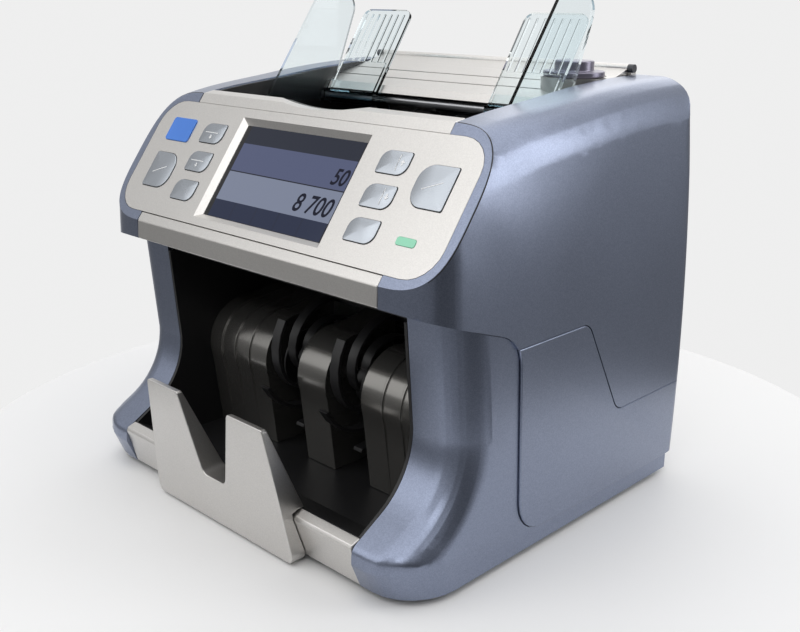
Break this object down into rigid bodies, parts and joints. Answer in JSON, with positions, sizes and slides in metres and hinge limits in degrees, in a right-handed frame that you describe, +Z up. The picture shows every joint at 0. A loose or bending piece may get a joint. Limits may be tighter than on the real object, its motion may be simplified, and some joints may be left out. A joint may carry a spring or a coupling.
{
  "type": "banknote counter",
  "caption": "Free-standing banknote counter with a top feed hopper, tilted control panel with display and keys, sliding clear note guides and an open front stacker pocket.",
  "frame": {"origin": "centre of the bounding box's bottom face, on the ground under the rubber feet", "axes": "+X to the machine's right seen from behind the operator, +Y from the front to the back, +Z up"},
  "size_m": [0.28, 0.255, 0.2935],
  "materials": {
    "body_blue": "satin metallic blue-grey",
    "silver": "satin warm silver",
    "key_blue": "glossy blue-grey",
    "display": "dark lit display",
    "lens_green": "pale green lens",
    "board": "printed circuit board",
    "black": "black moulding",
    "drum_grey": "glossy dark grey",
    "clear_blue": "clear pale blue",
    "knob": "grey-violet",
    "rubber": "dark rubber",
    "steel": "plated steel",
    "casing": "painted casing"
  },
  "bodies": {
    "housing": {"left_cheek": "body_blue", "right_cheek": "body_blue", "left_upper_cover": "body_blue", "right_upper_cover": "body_blue", "left_side_panel": "body_blue", "right_side_panel": "body_blue", "front_bar": "silver", "stacker_plate": "silver", "control_panel": "silver", "front_lip": "silver", "top_trim": "silver", "hopper_rear_panel": "silver", "back_panel": "silver", "emblem_tile": "key_blue", "display_glass": "display", "status_lens": "lens_green", "key_board": "board", "main_board": "board", "stacker_pocket": "black", "hopper_tray": "black", "power_inlet": "black", "scanner_bars": "black", "side_drum_covers": "drum_grey", "centre_drum_cover": "drum_grey", "rubber_feet": "rubber", "timing_belts": "rubber", "base_plate": "steel", "guide_rod": "steel", "tie_rods": "steel", "shaft_bearings": "steel", "left_frame": "steel", "right_frame": "steel", "display_module": "steel", "drive_motor": "casing", "power_supply": "casing"},
    "left_guide": {"left_guide": "clear_blue"},
    "right_guide": {"right_guide": "clear_blue"},
    "gap_knob": {"gap_knob": "knob"},
    "retard_unit": {"retard_bracket": "steel", "retard_rollers": "rubber"},
    "drive_set": {"drive_shaft": "steel", "drive_rollers": "rubber"},
    "feed_set": {"feed_shaft": "steel", "feed_rollers": "rubber"},
    "pickup_set": {"pickup_shaft": "steel", "pickup_rollers": "rubber"},
    "stacker_set": {"stacker_shaft": "steel", "stacker_wheels": "black"},
    "pinch_set": {"pinch_rollers": "rubber"},
    "motor_rotor": {"motor_pulley": "steel"},
    "rear_door": {"rear_door": "silver"},
    "power_switch": {"power_switch": "black"},
    "currency_key": {"currency_key": "key_blue"},
    "batch_key": {"batch_key": "key_blue"},
    "add_key": {"add_key": "key_blue"},
    "mode_key": {"mode_key": "key_blue"},
    "menu_key": {"menu_key": "key_blue"},
    "report_key": {"report_key": "key_blue"},
    "back_key": {"back_key": "key_blue"},
    "start_key": {"start_key": "key_blue"}
  },
  "joints": [
    {"name": "left_guide_slide", "type": "slide", "parent": "housing", "child": "left_guide", "axis": [1, 0, 0], "range_m": [0, 0.034]},
    {"name": "right_guide_slide", "type": "slide", "parent": "housing", "child": "right_guide", "axis": [-1, 0, 0], "range_m": [0, 0.034]},
    {"name": "gap_knob_turn", "type": "hinge", "parent": "housing", "child": "gap_knob", "pos_m": [0.0805, 0.081, 0.24], "axis": [0, 0, 1], "range_deg": [-150, 150]},
    {"name": "retard_tilt", "type": "hinge", "parent": "housing", "child": "retard_unit", "pos_m": [0, 0.094, 0.20979], "axis": [-1, 0, 0], "range_deg": [-0.58, 0.58]},
    {"name": "drive_spin", "type": "hinge", "parent": "housing", "child": "drive_set", "pos_m": [0, 0.0478, 0.124], "axis": [1, 0, 0], "continuous": true},
    {"name": "feed_spin", "type": "hinge", "parent": "housing", "child": "feed_set", "pos_m": [0, 0.0478, 0.18593], "axis": [1, 0, 0], "continuous": true},
    {"name": "pickup_spin", "type": "hinge", "parent": "housing", "child": "pickup_set", "pos_m": [0, 0.008, 0.1929], "axis": [1, 0, 0], "continuous": true},
    {"name": "stacker_spin", "type": "hinge", "parent": "housing", "child": "stacker_set", "pos_m": [0, -0.0235, 0.068], "axis": [1, 0, 0], "continuous": true},
    {"name": "pinch_spin", "type": "hinge", "parent": "housing", "child": "pinch_set", "pos_m": [0, 0.0724, 0.124], "axis": [1, 0, 0], "continuous": true},
    {"name": "motor_spin", "type": "hinge", "parent": "housing", "child": "motor_rotor", "pos_m": [0, 0.095, 0.045], "axis": [1, 0, 0], "continuous": true},
    {"name": "rear_door_hinge", "type": "hinge", "parent": "housing", "child": "rear_door", "pos_m": [0, 0.12518, 0.0634], "axis": [-1, 0, 0], "range_deg": [0, 75]},
    {"name": "power_rocker", "type": "hinge", "parent": "housing", "child": "power_switch", "pos_m": [-0.047, 0.119, 0.036], "axis": [-1, 0, 0], "range_deg": [0, 16]},
    {"name": "currency_key_press", "type": "slide", "parent": "housing", "child": "currency_key", "axis": [0, 0.8054, -0.5927], "range_m": [0, 0.0012], "stiffness_N_per_m": 400},
    {"name": "batch_key_press", "type": "slide", "parent": "housing", "child": "batch_key", "axis": [0, 0.8054, -0.5927], "range_m": [0, 0.0012], "stiffness_N_per_m": 400},
    {"name": "add_key_press", "type": "slide", "parent": "housing", "child": "add_key", "axis": [0, 0.8054, -0.5927], "range_m": [0, 0.0012], "stiffness_N_per_m": 400},
    {"name": "mode_key_press", "type": "slide", "parent": "housing", "child": "mode_key", "axis": [0, 0.8054, -0.5927], "range_m": [0, 0.0012], "stiffness_N_per_m": 400},
    {"name": "menu_key_press", "type": "slide", "parent": "housing", "child": "menu_key", "axis": [0, 0.8054, -0.5927], "range_m": [0, 0.0012], "stiffness_N_per_m": 400},
    {"name": "report_key_press", "type": "slide", "parent": "housing", "child": "report_key", "axis": [0, 0.8054, -0.5927], "range_m": [0, 0.0012], "stiffness_N_per_m": 400},
    {"name": "back_key_press", "type": "slide", "parent": "housing", "child": "back_key", "axis": [0, 0.8054, -0.5927], "range_m": [0, 0.0012], "stiffness_N_per_m": 400},
    {"name": "start_key_press", "type": "slide", "parent": "housing", "child": "start_key", "axis": [0, 0.8054, -0.5927], "range_m": [0, 0.0012], "stiffness_N_per_m": 400}
  ],
  "couplings": [
    {"joint": "feed_spin", "follows": "drive_spin", "ratio": 1},
    {"joint": "pickup_spin", "follows": "drive_spin", "ratio": 1},
    {"joint": "stacker_spin", "follows": "drive_spin", "ratio": 0.71429},
    {"joint": "motor_spin", "follows": "drive_spin", "ratio": 1.75},
    {"joint": "pinch_spin", "follows": "drive_spin", "ratio": -2},
    {"joint": "retard_tilt", "follows": "gap_knob_turn", "ratio": 0.0038197}
  ]
}
